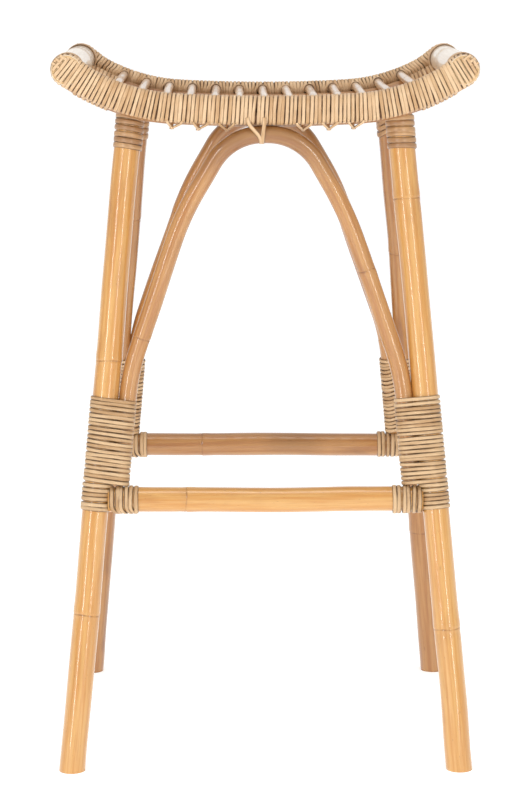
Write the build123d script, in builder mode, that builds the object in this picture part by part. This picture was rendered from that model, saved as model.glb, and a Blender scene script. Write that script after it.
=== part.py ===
"""Rattan bar stool with a saddle seat, front and back arches and a footrest.

Millimetres, +Z up, the front faces -Y, the origin is on the floor under the seat's centre.
Corners are named by their signs: side is -1 (left) or 1 (right), face is -1 (front) or
1 (back).
"""
from build123d import *
import os
from math import asin, atan2, cos, degrees, sin

os.makedirs("parts", exist_ok=True)

# ---------------------------------------------------------------- driving dimensions
overall_height = 760.0      # floor to the top of the raised seat ends
peel = 1.8                  # thickness of the peel windings

# legs
leg_radius = 14.1
foot_half_x = 207.5         # leg axis at the floor
foot_half_y = 198.0
leg_top_half_x = 142.0      # leg axis at the height of the bearers
leg_notch = 1.5             # depth that a leg is let into its bearer
leg_top_gap = 1.5           # between a leg's sawn top and the nearest seat rod

# saddle curve shared by rails, bearers and rods
end_roll_x = 207.7          # end roll axis
saddle_drop = 42.0          # from the end roll axis down to the middle of the rails
flat_half = 95.0            # half length of the nearly flat middle
flat_rise = 2.6             # rise of the curve over that half length

# seat frame
rail_y = 142.5              # centre plane of the front and back rails
rail_pole_radius = 6.9      # two poles touch along the saddle curve
bearer_radius = 10.3
end_roll_radius = 15.9
roll_winding_length = 17.0
roll_winding_gap = 0.5      # from the rail's winding

# seat rods
rod_count = 13
rod_end_gap = 46.3          # from an end roll's axis to the nearest rod
rod_radius = 4.7
tenon_radius = 3.0
tenon_depth = 6.0           # into the upper rail pole
ring_width = 4.5
ring_thickness = 1.4

# footrest
stretcher_radius = 13.5
stretcher_z = 287.2
stretcher_winding_length = 29.0
joint_winding_drop = 10.8   # from the stretcher's axis down to the lowest turn
joint_winding_gap = 1.4     # under the long winding
joint_winding_thickness = 2.3

# arches
arch_radius = 9.5
arch_crown_radius = 62.0    # bend of the pole's axis
arch_corner_x = 38.5        # where the limb's line meets the crown's height
arch_crown_inset = 3.5      # from the rail's centre plane to the crown's axis
arch_waist_x = 85.0         # gentle bend halfway up each limb
arch_waist_drop = 81.2      # from the crown's axis down to the gentle bend
arch_waist_radius = 320.0
arch_knee_rise = 28.0       # from the long winding's top to where the limb leaves the leg
arch_knee_radius = 200.0
arch_notch = 1.0            # depth that an arch foot is let into its leg
arch_foot_gap = 0.8         # over the stretcher's winding
arch_winding_gap = 3.5      # over the stretcher's winding, on the leg axis
arch_winding_length = 90.0  # height on the leg axis

# leg top winding
top_winding_length = 34.0
top_winding_gap = 3.0       # under the bearer
top_winding_thickness = 1.6

# lacing under the rails
lace_radius = 1.2
lace_clear = 0.1            # between a strand and what it passes
lace_half_spread = 6.5      # half width of a V at the rail
crown_lace_half_spread = 10.0
crown_lace_rise = 16.0      # above the crown's axis, up the face of the rail

# fasteners
nail_radius = 1.75
nail_length = 40.0
nail_offset_z = 4.0         # keeps the two nails through a leg apart
screw_radius = 2.25
screw_length = 42.0
screw_head_radius = 4.2
screw_head_height = 3.0
crown_nail_length = 24.0

# ---------------------------------------------------------------- derived sizes
roll_z = overall_height - end_roll_radius - peel
saddle_z = roll_z - saddle_drop
rail_half_depth = rail_pole_radius + peel
rail_half_height = 2 * rail_pole_radius + peel
rail_inner_y = rail_y - rail_half_depth
rail_outer_y = rail_y + rail_half_depth
bearer_y = rail_inner_y - bearer_radius
bearer_lift = rail_pole_radius - rod_radius - bearer_radius
leg_top_half_y = bearer_y - bearer_radius - leg_radius + leg_notch
rod_pitch = 2 * (end_roll_x - rod_end_gap) / (rod_count - 1)
arch_foot_offset = leg_radius + arch_radius - arch_notch
arch_crown_y = rail_y - arch_crown_inset
stretcher_top_z = stretcher_z + stretcher_radius + peel
arch_foot_z = stretcher_top_z + arch_foot_gap
arch_winding_low = stretcher_top_z + arch_winding_gap
arch_winding_high = arch_winding_low + arch_winding_length
arch_knee_z = arch_winding_high + arch_knee_rise
lace_reach = lace_radius + lace_clear

flat_radius = (flat_half**2 + flat_rise**2) / (2 * flat_rise)
flat_angle = asin(flat_half / flat_radius)
end_rise = saddle_drop - flat_rise
end_angle = 2 * atan2(end_rise, end_roll_x - flat_half) - flat_angle
end_radius = (end_roll_x - flat_half) / (sin(end_angle) - sin(flat_angle))

SIDES = {"left": -1, "right": 1}
FACES = {"front": -1, "back": 1}


# ---------------------------------------------------------------- shared geometry
def saddle_point(x, lift=0.0):
    """Point (x, z) of the saddle curve above x, moved along its normal by lift."""
    reach = abs(x)
    if reach <= flat_half:
        angle = asin(reach / flat_radius)
        z = saddle_z + flat_radius * (1 - cos(angle))
    else:
        angle = asin(sin(flat_angle) + (reach - flat_half) / end_radius)
        z = saddle_z + flat_rise + end_radius * (cos(flat_angle) - cos(angle))
    sideways = -1 if x > 0 else 1
    return x + sideways * lift * sin(angle), z + lift * cos(angle)


def saddle_path(y, lift):
    """Saddle curve in the plane at y, from the left end roll's axis to the right one's."""
    bend = degrees(end_angle - flat_angle)
    start_x, start_z = saddle_point(-end_roll_x, lift)
    with BuildLine(Plane.XZ.offset(-y)) as path:
        left = JernArc((start_x, start_z), (cos(end_angle), -sin(end_angle)), end_radius - lift, bend)
        middle = JernArc(left @ 1, left % 1, flat_radius - lift, degrees(2 * flat_angle))
        JernArc(middle @ 1, middle % 1, end_radius - lift, bend)
    return path.wire()


def leg_point(side, face, z):
    """Point of a leg's axis at height z."""
    run = z / bearer_z_at_leg
    x = foot_half_x + (leg_top_half_x - foot_half_x) * run
    y = foot_half_y + (leg_top_half_y - foot_half_y) * run
    return Vector(side * x, face * y, z)


def leg_direction(side, face):
    """Unit vector up a leg's axis."""
    return (leg_point(side, face, bearer_z_at_leg) - leg_point(side, face, 0)).normalized()


def inward_from_leg(side, face):
    """Unit vector square to a leg, towards the middle of the stool's width."""
    up = leg_direction(side, face)
    inward = Vector(-side, 0, 0)
    return (inward - up * inward.dot(up)).normalized()


def arch_foot_point(side, face, z):
    """Point of an arch foot's axis where it lies along its leg."""
    return leg_point(side, face, z) + inward_from_leg(side, face) * arch_foot_offset


def pole(start, end, radius):
    """Straight round bar between two points."""
    with BuildPart() as bar:
        with BuildSketch(Plane(origin=start, z_dir=end - start)):
            Circle(radius)
        extrude(amount=(end - start).length)
    return bar.part


def bent_pole(path, radius):
    """Round bar along a wire."""
    with BuildPart() as bar:
        with BuildSketch(Plane(origin=path @ 0, z_dir=path % 0)):
            Circle(radius)
        sweep(path=path)
    return bar.part


def save(piece, name):
    piece.label = name
    export_step(piece, f"parts/{name}.step")


bearer_z_at_leg = saddle_point(leg_top_half_x, bearer_lift)[1]
lowest_rod_z = saddle_point(leg_top_half_x - leg_radius, rail_pole_radius)[1]
leg_top_z = lowest_rod_z - rod_radius - leg_top_gap
rail_bottom_z = saddle_z - rail_half_height
arch_crown_z = rail_bottom_z - arch_radius
arch_waist_z = arch_crown_z - arch_waist_drop
rod_positions = [rod_pitch * (i - (rod_count - 1) / 2) for i in range(rod_count)]

# ---------------------------------------------------------------- fasteners
# Nails through the legs into the stretchers' ends, and through the arch feet into the legs.
stretcher_nails = []
arch_nails = []
leg_top_screws = []
for side in SIDES.values():
    for face in FACES.values():
        joint = leg_point(side, face, stretcher_z)
        start = joint + Vector(side * (leg_radius - 1), 0, nail_offset_z)
        stretcher_nails.append(pole(start, start - Vector(side * nail_length, 0, 0), nail_radius))
        start = joint + Vector(0, face * (leg_radius - 1), -nail_offset_z)
        stretcher_nails.append(pole(start, start - Vector(0, face * nail_length, 0), nail_radius))

        start = arch_foot_point(side, face, (arch_winding_low + arch_winding_high) / 2)
        start = start + inward_from_leg(side, face) * (arch_radius - 1)
        end = start - inward_from_leg(side, face) * nail_length
        arch_nails.append(pole(start, end, nail_radius))

        head = Vector(side * leg_top_half_x, face * (bearer_y + bearer_radius - 1), bearer_z_at_leg)
        with BuildPart() as leg_screw:
            with BuildSketch(Plane(origin=head, z_dir=(0, -face, 0))):
                Circle(screw_head_radius)
            extrude(amount=screw_head_height, taper=30)
            with BuildSketch(Plane(origin=head, z_dir=(0, -face, 0))):
                Circle(screw_radius)
            extrude(amount=screw_length)
        leg_top_screws.append(leg_screw.part)

for face in FACES.values():
    low = Vector(0, face * arch_crown_y, arch_crown_z - arch_radius + 1)
    arch_nails.append(pole(low, low + Vector(0, 0, crown_nail_length), nail_radius))

# Nails through the end rolls into the ends of the rail poles.
roll_nails = []
for side in SIDES.values():
    inward = Vector(-side * cos(end_angle), 0, -sin(end_angle))
    for face in FACES.values():
        for lift in (-rail_pole_radius, rail_pole_radius):
            x, z = saddle_point(side * end_roll_x, lift)
            start = Vector(x, face * rail_y, z) - inward * (end_roll_radius - 3)
            roll_nails.append(pole(start, start + inward * nail_length, nail_radius))

# ---------------------------------------------------------------- seat frame
end_rolls = {}
for side_name, side in SIDES.items():
    roll_half_length = rail_outer_y - peel
    with BuildPart() as end_roll:
        with BuildSketch(Plane.XZ.offset(-roll_half_length)):
            with Locations((side * end_roll_x, roll_z)):
                Circle(end_roll_radius)
        extrude(amount=2 * roll_half_length)
        add(roll_nails, mode=Mode.SUBTRACT)
    end_rolls[side_name] = end_roll.part
    save(end_roll.part, f"{side_name}_end_roll")

# Seat rods, each with a round tenon at both ends.
seat_rods = []
for number, x in enumerate(rod_positions, start=1):
    rod_x, rod_z = saddle_point(x, rail_pole_radius)
    tenon_half_length = rail_y - rail_pole_radius + tenon_depth
    with BuildPart() as seat_rod:
        with BuildSketch(Plane.XZ.offset(-rail_inner_y)):
            with Locations((rod_x, rod_z)):
                Circle(rod_radius)
        extrude(amount=2 * rail_inner_y)
        with BuildSketch(Plane.XZ.offset(-tenon_half_length)):
            with Locations((rod_x, rod_z)):
                Circle(tenon_radius)
        extrude(amount=2 * tenon_half_length)
    seat_rods.append(seat_rod.part)
    save(seat_rod.part, f"seat_rod_{number:02d}")

# Legs, sawn off flat at the floor and just under the seat rods.
legs = {}
for side_name, side in SIDES.items():
    for face_name, face in FACES.items():
        foot = leg_point(side, face, 0)
        up = leg_direction(side, face)
        with BuildPart() as leg:
            with BuildSketch(Plane(origin=foot - up * leg_radius, z_dir=up)):
                Circle(leg_radius)
            extrude(amount=overall_height)
            split(bisect_by=Plane.XY, keep=Keep.TOP)
            split(bisect_by=Plane.XY.offset(leg_top_z), keep=Keep.BOTTOM)
            add(stretcher_nails + arch_nails + leg_top_screws, mode=Mode.SUBTRACT)
        legs[side_name, face_name] = leg.part
        save(leg.part, f"{face_name}_{side_name}_leg")

# Bearers and rail poles, coped to the end rolls. The bearers are notched for the legs.
bearers = {}
for face_name, face in FACES.items():
    near_legs = [legs[side_name, face_name] for side_name in SIDES]
    with BuildPart() as bearer:
        add(bent_pole(saddle_path(face * bearer_y, bearer_lift), bearer_radius))
        add(list(end_rolls.values()) + near_legs + leg_top_screws, mode=Mode.SUBTRACT)
    bearers[face_name] = bearer.part
    save(bearer.part, f"{face_name}_seat_bearer")

    for level, lift in {"lower": -rail_pole_radius, "upper": rail_pole_radius}.items():
        with BuildPart() as rail:
            add(bent_pole(saddle_path(face * rail_y, lift), rail_pole_radius))
            add(list(end_rolls.values()) + seat_rods, mode=Mode.SUBTRACT)
            add(roll_nails + arch_nails, mode=Mode.SUBTRACT)
        save(rail.part, f"{face_name}_{level}_seat_rail")

# ---------------------------------------------------------------- footrest
stretchers = {}
for face_name, face in FACES.items():
    with BuildPart() as stretcher:
        left_end = leg_point(-1, face, stretcher_z)
        right_end = leg_point(1, face, stretcher_z)
        add(pole(left_end, right_end, stretcher_radius))
        add(list(legs.values()) + stretcher_nails, mode=Mode.SUBTRACT)
    stretchers[face_name] = stretcher.part
    save(stretcher.part, f"{face_name}_stretcher")

for side_name, side in SIDES.items():
    with BuildPart() as stretcher:
        front_end = leg_point(side, -1, stretcher_z)
        back_end = leg_point(side, 1, stretcher_z)
        add(pole(front_end, back_end, stretcher_radius))
        add(list(legs.values()) + stretcher_nails, mode=Mode.SUBTRACT)
        add([stretchers["front"], stretchers["back"]], mode=Mode.SUBTRACT)
    stretchers[side_name] = stretcher.part
    save(stretcher.part, f"{side_name}_stretcher")

# ---------------------------------------------------------------- arches
arches = {}
limb_radii = [arch_knee_radius, arch_waist_radius, arch_crown_radius]
for face_name, face in FACES.items():
    knee = arch_foot_point(1, face, arch_knee_z)
    corner = Vector(arch_corner_x, face * arch_crown_y, arch_crown_z)
    waist_run = (arch_waist_z - arch_knee_z) / (arch_crown_z - arch_knee_z)
    waist = Vector(arch_waist_x, knee.Y + (corner.Y - knee.Y) * waist_run, arch_waist_z)
    with BuildLine() as arch_path:
        FilletPolyline(
            arch_foot_point(-1, face, arch_foot_z - arch_radius),
            Vector(-knee.X, knee.Y, knee.Z),
            Vector(-waist.X, waist.Y, waist.Z),
            Vector(-corner.X, corner.Y, corner.Z),
            corner,
            waist,
            knee,
            arch_foot_point(1, face, arch_foot_z - arch_radius),
            radius=limb_radii + limb_radii[::-1],
        )
    with BuildPart() as arch:
        add(bent_pole(arch_path.wire(), arch_radius))
        split(bisect_by=Plane.XY.offset(arch_foot_z), keep=Keep.TOP)
        add(list(legs.values()) + arch_nails, mode=Mode.SUBTRACT)
    arches[face_name] = arch.part
    save(arch.part, f"{face_name}_arch")

# ---------------------------------------------------------------- peel windings
# Rails: one skin stretched over both poles, with a woven cap over each end of the end rolls.
for face_name, face in FACES.items():
    path = saddle_path(face * rail_y, 0)
    section = Plane(origin=path @ 0, x_dir=(0, 1, 0), z_dir=path % 0)
    with BuildPart() as rail_winding:
        with BuildSketch(section):
            SlotOverall(2 * rail_half_height, 2 * rail_half_depth, rotation=90)
        sweep(path=path)
        with BuildSketch(Plane.XZ.offset(-face * rail_y)):
            with Locations((-end_roll_x, roll_z), (end_roll_x, roll_z)):
                Circle(end_roll_radius + peel)
        extrude(amount=rail_half_depth, both=True)
        with BuildSketch(section):
            SlotOverall(4 * rail_pole_radius, 2 * rail_pole_radius, rotation=90)
        sweep(path=path, mode=Mode.SUBTRACT)
        add(list(end_rolls.values()) + seat_rods + roll_nails + arch_nails, mode=Mode.SUBTRACT)
    save(rail_winding.part, f"{face_name}_rail_winding")

# End rolls: a few turns next to each rail.
for side_name, side in SIDES.items():
    with BuildPart() as roll_winding:
        for face in FACES.values():
            winding_end = Vector(side * end_roll_x, face * (rail_inner_y - roll_winding_gap), roll_z)
            with BuildSketch(Plane(origin=winding_end, z_dir=(0, -face, 0))):
                Circle(end_roll_radius + peel)
                Circle(end_roll_radius, mode=Mode.SUBTRACT)
            extrude(amount=roll_winding_length)
        add(list(bearers.values()), mode=Mode.SUBTRACT)
    save(roll_winding.part, f"{side_name}_roll_windings")

# Rings that bind the rods' ends beside the rails.
with BuildPart() as rod_rings:
    for x in rod_positions:
        for face in FACES.values():
            rod_x, rod_z = saddle_point(x, rail_pole_radius)
            ring_end = Vector(rod_x, face * (rail_inner_y - lace_clear), rod_z)
            with BuildSketch(Plane(origin=ring_end, z_dir=(0, -face, 0))):
                Circle(rod_radius + ring_thickness)
                Circle(rod_radius, mode=Mode.SUBTRACT)
            extrude(amount=ring_width)
    add(list(bearers.values()), mode=Mode.SUBTRACT)
save(rod_rings.part, "rod_end_rings")

# Stretcher ends.
stretcher_wraps = []
winding_start = leg_radius + joint_winding_thickness + lace_clear
for face_name, face in FACES.items():
    with BuildPart() as stretcher_windings:
        for side in SIDES.values():
            joint = leg_point(side, face, stretcher_z)
            outer = joint - Vector(side * winding_start, 0, 0)
            inner = outer - Vector(side * stretcher_winding_length, 0, 0)
            add(pole(outer, inner, stretcher_radius + peel))
        add(stretchers[face_name], mode=Mode.SUBTRACT)
        add(stretcher_nails, mode=Mode.SUBTRACT)
    stretcher_wraps.append(stretcher_windings.part)
    save(stretcher_windings.part, f"{face_name}_stretcher_windings")

for side_name, side in SIDES.items():
    with BuildPart() as stretcher_windings:
        for face in FACES.values():
            joint = leg_point(side, face, stretcher_z)
            outer = joint - Vector(0, face * winding_start, 0)
            inner = outer - Vector(0, face * stretcher_winding_length, 0)
            add(pole(outer, inner, stretcher_radius + peel))
        add(stretchers[side_name], mode=Mode.SUBTRACT)
        add(stretcher_nails, mode=Mode.SUBTRACT)
    stretcher_wraps.append(stretcher_windings.part)
    save(stretcher_windings.part, f"{side_name}_stretcher_windings")

# Leg tops, long windings of leg and arch foot, and the turns round each leg at the footrest,
# which stop at the stretchers.
for side_name, side in SIDES.items():
    for face_name, face in FACES.items():
        leg = legs[side_name, face_name]
        up = leg_direction(side, face)
        corner_name = f"{face_name}_{side_name}"

        top_winding_high = bearer_z_at_leg - bearer_radius - top_winding_gap
        low = leg_point(side, face, top_winding_high - top_winding_length)
        high = leg_point(side, face, top_winding_high)
        with BuildPart() as top_winding:
            add(pole(low, high, leg_radius + top_winding_thickness))
            add(leg, mode=Mode.SUBTRACT)
        save(top_winding.part, f"{corner_name}_leg_top_winding")

        low = leg_point(side, face, arch_winding_low)
        high = leg_point(side, face, arch_winding_high)
        with BuildPart() as arch_winding:
            with BuildSketch(Plane(origin=low, x_dir=inward_from_leg(side, face), z_dir=up)):
                Circle(leg_radius + peel)
                with Locations((arch_foot_offset, 0)):
                    Circle(arch_radius + peel)
                make_hull()
                Circle(leg_radius, mode=Mode.SUBTRACT)
                with Locations((arch_foot_offset, 0)):
                    Circle(arch_radius, mode=Mode.SUBTRACT)
            extrude(amount=(high - low).length)
        save(arch_winding.part, f"{corner_name}_arch_winding")

        low = leg_point(side, face, stretcher_z - joint_winding_drop)
        high = leg_point(side, face, arch_winding_low - joint_winding_gap)
        with BuildPart() as joint_winding:
            add(pole(low, high, leg_radius + joint_winding_thickness))
            add([leg, arches[face_name]] + list(stretchers.values()), mode=Mode.SUBTRACT)
            add(stretcher_wraps + stretcher_nails, mode=Mode.SUBTRACT)
        outer_turns = joint_winding.part.solids().sort_by(SortBy.VOLUME)[-1]
        save(outer_turns, f"{corner_name}_joint_winding")

# ---------------------------------------------------------------- lacing
# A V of peel under the rail and its bearer midway between rods, from the arch's crown to the
# legs. The middle one is longer and goes round the crown.
laced_reach = leg_top_half_x - 2 * leg_radius
midways = [x + rod_pitch / 2 for x in rod_positions]
laced = [x for x in midways if rod_pitch < abs(x) < laced_reach]
rail_lift = -rail_half_height - lace_reach
bearer_low_lift = bearer_lift - bearer_radius - lace_reach
for face_name, face in FACES.items():
    with BuildPart() as lacing:
        for x in laced:
            low_x, low_z = saddle_point(x, bearer_low_lift)
            tip = Vector(low_x, face * bearer_y, low_z)
            for spread in (-lace_half_spread, lace_half_spread):
                rail_x, rail_z = saddle_point(x + spread, rail_lift)
                foot = Vector(rail_x, face * (rail_y + rail_half_depth / 3), rail_z)
                add(pole(foot, tip, lace_radius))

        front_y = face * (arch_crown_y + arch_radius + lace_reach)
        for spread in (-crown_lace_half_spread, crown_lace_half_spread):
            rail_end = Vector(spread, face * (rail_outer_y + lace_reach), arch_crown_z + crown_lace_rise)
            add(pole(rail_end, Vector(0, front_y, arch_crown_z - lace_radius / 2), lace_radius))
        with BuildPart(mode=Mode.PRIVATE) as crown_loop:
            with BuildSketch(Plane(origin=(0, front_y, arch_crown_z), z_dir=(0, 0, 1))):
                Circle(lace_radius)
            revolve(axis=Axis((0, face * arch_crown_y, arch_crown_z), (-face, 0, 0)),
                    revolution_arc=180)
        add(crown_loop.part)
    save(lacing.part, f"{face_name}_lacing")

save(Part(children=stretcher_nails), "stretcher_nails")
save(Part(children=arch_nails), "arch_nails")
save(Part(children=roll_nails), "end_roll_nails")
save(Part(children=leg_top_screws), "leg_top_screws")
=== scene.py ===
import math

import bpy
import numpy as np
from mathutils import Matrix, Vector


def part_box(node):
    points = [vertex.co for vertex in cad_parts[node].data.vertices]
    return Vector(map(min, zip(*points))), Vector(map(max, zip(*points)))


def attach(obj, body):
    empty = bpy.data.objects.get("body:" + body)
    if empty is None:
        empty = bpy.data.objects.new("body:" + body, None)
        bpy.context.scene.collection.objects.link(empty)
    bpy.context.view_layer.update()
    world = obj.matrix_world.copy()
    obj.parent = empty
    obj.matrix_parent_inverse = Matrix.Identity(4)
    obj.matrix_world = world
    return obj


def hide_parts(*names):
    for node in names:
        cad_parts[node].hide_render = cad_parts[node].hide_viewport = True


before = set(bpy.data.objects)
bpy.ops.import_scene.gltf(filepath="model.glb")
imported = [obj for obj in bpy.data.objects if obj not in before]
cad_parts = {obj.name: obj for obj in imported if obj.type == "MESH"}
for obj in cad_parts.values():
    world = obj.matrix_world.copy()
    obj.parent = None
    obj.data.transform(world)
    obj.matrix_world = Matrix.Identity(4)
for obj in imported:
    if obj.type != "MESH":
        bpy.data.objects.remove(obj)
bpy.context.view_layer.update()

# Bar stool of rattan pole and peel, in metres. The front faces -Y. Every pole and every
# winding is built round the same axes as its CAD node, which it then stands for.

# ---------------------------------------------------------------- sizes, as in the CAD model
PEEL = 0.0018
LEG_R = 0.0141
ARCH_R = 0.0095
STRETCHER_R = 0.0135
RAIL_POLE_R = 0.0069
BEARER_R = 0.0103
ROLL_R = 0.0159
ROD_R = 0.0047
FOOT_X, FOOT_Y = 0.2075, 0.198
LEG_TOP_X = 0.142
ROLL_X, ROLL_Z = 0.2077, 0.7423
RAIL_Y = 0.1425
SADDLE_DROP = 0.042
FLAT_HALF, FLAT_RISE = 0.095, 0.0026
ROD_COUNT, ROD_PITCH = 13, 0.0269
STRETCHER_Z = 0.2872
ARCH_KNEE_Z = 0.424
ARCH_WAIST_X, ARCH_WAIST_Z = 0.085, 0.594
ARCH_CORNER_X = 0.0385
ARCH_CROWN_Y = 0.139
LIMB_BENDS = (0.200, 0.320, 0.062)

RAIL_HALF_DEPTH = RAIL_POLE_R + PEEL
RAIL_HALF_HEIGHT = 2 * RAIL_POLE_R + PEEL
RAIL_INNER_Y = RAIL_Y - RAIL_HALF_DEPTH
BEARER_Y = RAIL_INNER_Y - BEARER_R
BEARER_LIFT = RAIL_POLE_R - ROD_R - BEARER_R
LEG_TOP_Y = BEARER_Y - BEARER_R - LEG_R + 0.0015
SADDLE_Z = ROLL_Z - SADDLE_DROP
ARCH_CROWN_Z = SADDLE_Z - RAIL_HALF_HEIGHT - ARCH_R
ARCH_FOOT_OFFSET = LEG_R + ARCH_R - 0.0010
ARCH_FOOT_Z = STRETCHER_Z + STRETCHER_R + PEEL + 0.0028
CAP_R = ROLL_R + PEEL
TOP_WRAP_LOW = 0.6560
ARCH_WRAP_LOW, ARCH_WRAP_HIGH = 0.3060, 0.3960
JOINT_WRAP_LOW, JOINT_WRAP_HIGH = STRETCHER_Z - 0.0108, 0.3050
STRETCHER_TRIM = 0.0128          # from a leg's axis to the end of a stretcher
STRETCHER_WRAP_START = LEG_R + 0.0008
STRETCHER_WRAP_RUN = 0.030
FOOT_MARGIN = 0.004              # pole below the floor, pulled back up to it
ROD_XS = [ROD_PITCH * (i - (ROD_COUNT - 1) / 2) for i in range(ROD_COUNT)]

FLAT_RADIUS = (FLAT_HALF**2 + FLAT_RISE**2) / (2 * FLAT_RISE)
FLAT_ANGLE = math.asin(FLAT_HALF / FLAT_RADIUS)
END_ANGLE = 2 * math.atan2(SADDLE_DROP - FLAT_RISE, ROLL_X - FLAT_HALF) - FLAT_ANGLE
END_RADIUS = (ROLL_X - FLAT_HALF) / (math.sin(END_ANGLE) - math.sin(FLAT_ANGLE))

CORNERS = {
    "front_left": (-1, -1),
    "front_right": (1, -1),
    "back_left": (-1, 1),
    "back_right": (1, 1),
}
FACES = {"front": -1, "back": 1}
SIDES = {"left": -1, "right": 1}


# ---------------------------------------------------------------- turns, from one to the next
RAIL_PITCH = 0.0043
TOP_PITCH = 0.0060
ARCH_PITCH = 0.0046
JOINT_PITCH = 0.0052
STRETCHER_PITCH = 0.0048
ROLL_PITCH = 0.0042
ROD_RING_PITCH = 0.0025


# ---------------------------------------------------------------- axes
def saddle_angle(x):
    """Slope angle of the saddle curve above x, past the end roll's axis too."""
    reach = np.abs(x)
    flat = np.arcsin(np.clip(reach / FLAT_RADIUS, 0, 1))
    bent = np.arcsin(np.clip(math.sin(FLAT_ANGLE) + (reach - FLAT_HALF) / END_RADIUS, 0, 1))
    return np.sign(x) * np.where(reach <= FLAT_HALF, flat, bent)


def saddle_point(x, lift=0.0):
    """Points (x, z) of the saddle curve above x, moved along its normal by lift."""
    x = np.asarray(x, float)
    angle = saddle_angle(x)
    flat_z = SADDLE_Z + FLAT_RADIUS * (1 - np.cos(angle))
    bent_z = SADDLE_Z + FLAT_RISE + END_RADIUS * (math.cos(FLAT_ANGLE) - np.cos(angle))
    z = np.where(np.abs(x) <= FLAT_HALF, flat_z, bent_z)
    return x - lift * np.sin(angle), z + lift * np.cos(angle)


BEARER_Z_AT_LEG = float(saddle_point(LEG_TOP_X, BEARER_LIFT)[1])


def unit(v):
    """v at length 1."""
    v = np.asarray(v, float)
    return v / np.linalg.norm(v)


def leg_point(side, face, z):
    """Point of a leg's axis at height z."""
    run = z / BEARER_Z_AT_LEG
    x = FOOT_X + (LEG_TOP_X - FOOT_X) * run
    y = FOOT_Y + (LEG_TOP_Y - FOOT_Y) * run
    return np.array([side * x, face * y, z])


def leg_up(side, face):
    """Direction up a leg's axis."""
    return unit(leg_point(side, face, BEARER_Z_AT_LEG) - leg_point(side, face, 0))


def leg_inward(side, face):
    """Direction across a leg, towards the middle of the stool's width."""
    up = leg_up(side, face)
    inward = np.array([-side, 0.0, 0.0])
    return unit(inward - up * inward.dot(up))


def arch_foot(side, face, z):
    """Point at height z of the axis of an arch's limb where it lies along the leg."""
    return leg_point(side, face, z) + leg_inward(side, face) * ARCH_FOOT_OFFSET


def straight(a, b, step=0.004):
    """Evenly spaced points from a to b."""
    a, b = np.asarray(a, float), np.asarray(b, float)
    count = max(2, int(np.linalg.norm(b - a) / step) + 1)
    return a + (b - a) * np.linspace(0, 1, count)[:, None]


def rounded(points, radii, step=0.004):
    """Polyline with its inner corners rounded to the radii, as evenly spaced points."""
    points = [np.asarray(p, float) for p in points]
    runs = []
    start = points[0]
    for before, corner, after, radius in zip(points, points[1:], points[2:], radii):
        back, ahead = unit(before - corner), unit(after - corner)
        half = math.acos(np.clip(back.dot(ahead), -1, 1)) / 2
        reach = radius / math.tan(half)
        centre = corner + unit(back + ahead) * radius / math.sin(half)
        enter, leave = corner + back * reach, corner + ahead * reach
        runs.append(straight(start, enter, step)[:-1])
        sweep = math.pi - 2 * half
        u, v = unit(enter - centre), unit(corner - enter)
        angles = np.linspace(0, sweep, max(3, int(sweep * radius / step)))[:, None]
        runs.append((centre + radius * (u * np.cos(angles) + v * np.sin(angles)))[:-1])
        start = leave
    runs.append(straight(start, points[-1], step))
    return np.vstack(runs)


def arch_axis(face):
    """Axis of an arch: from one foot over the crown to the other."""
    knee = arch_foot(1, face, ARCH_KNEE_Z)
    corner = np.array([ARCH_CORNER_X, face * ARCH_CROWN_Y, ARCH_CROWN_Z])
    run = (ARCH_WAIST_Z - ARCH_KNEE_Z) / (ARCH_CROWN_Z - ARCH_KNEE_Z)
    waist = np.array([ARCH_WAIST_X, knee[1] + (corner[1] - knee[1]) * run, ARCH_WAIST_Z])
    right = [arch_foot(1, face, ARCH_FOOT_Z), knee, waist, corner]
    left = [point * (-1, 1, 1) for point in right]
    return rounded(left + right[::-1], LIMB_BENDS + LIMB_BENDS[::-1])


def moving_frame(points, side_hint):
    """Tangent and two square directions at each point, with the first kept near side_hint."""
    tangent = np.gradient(points, axis=0)
    tangent /= np.linalg.norm(tangent, axis=1)[:, None]
    first = np.empty_like(tangent)
    guide = np.asarray(side_hint, float)
    for i, t in enumerate(tangent):
        guide = unit(guide - t * guide.dot(t))
        first[i] = guide
    return tangent, first, np.cross(tangent, first)


def smooth_noise(rng, positions, spacing):
    """Smooth random curve of about unit size, sampled at positions."""
    low, high = positions.min() - spacing, positions.max() + 2 * spacing
    knots = np.arange(low, high + spacing, spacing)
    values = rng.normal(size=len(knots))
    place = (positions - low) / spacing
    i = np.clip(place.astype(int), 0, len(knots) - 2)
    f = place - i
    f = f * f * (3 - 2 * f)
    return values[i] * (1 - f) + values[i + 1] * f


# ---------------------------------------------------------------- mesh building
def make_mesh(name, vertices, faces, vectors, floats, material):
    """Smooth-shaded object with the named per-vertex vectors and numbers its material reads."""
    mesh = bpy.data.meshes.new(name)
    mesh.from_pydata(vertices.tolist(), [], faces)
    for key, values in vectors.items():
        layer = mesh.attributes.new(key, "FLOAT_VECTOR", "POINT")
        layer.data.foreach_set("vector", np.asarray(values, np.float32).ravel())
    for key, values in floats.items():
        layer = mesh.attributes.new(key, "FLOAT", "POINT")
        layer.data.foreach_set("value", np.asarray(values, np.float32).ravel())
    mesh.polygons.foreach_set("use_smooth", [True] * len(mesh.polygons))
    mesh.materials.append(material)
    mesh.validate()
    mesh.update()
    obj = bpy.data.objects.new(name, mesh)
    bpy.context.scene.collection.objects.link(obj)
    return obj


def ring_faces(rings, sides, offset=0):
    """Quads between successive rings of vertices."""
    faces = []
    for i in range(rings - 1):
        a = offset + i * sides
        b = a + sides
        for j in range(sides):
            k = (j + 1) % sides
            faces.append((a + j, a + k, b + k, b + j))
    return faces


def place_piece(obj, nodes):
    """Rides the piece on the stool's one body, in the place of its CAD nodes if it has any."""
    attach(obj, "root")
    if nodes:
        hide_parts(*nodes)


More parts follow.
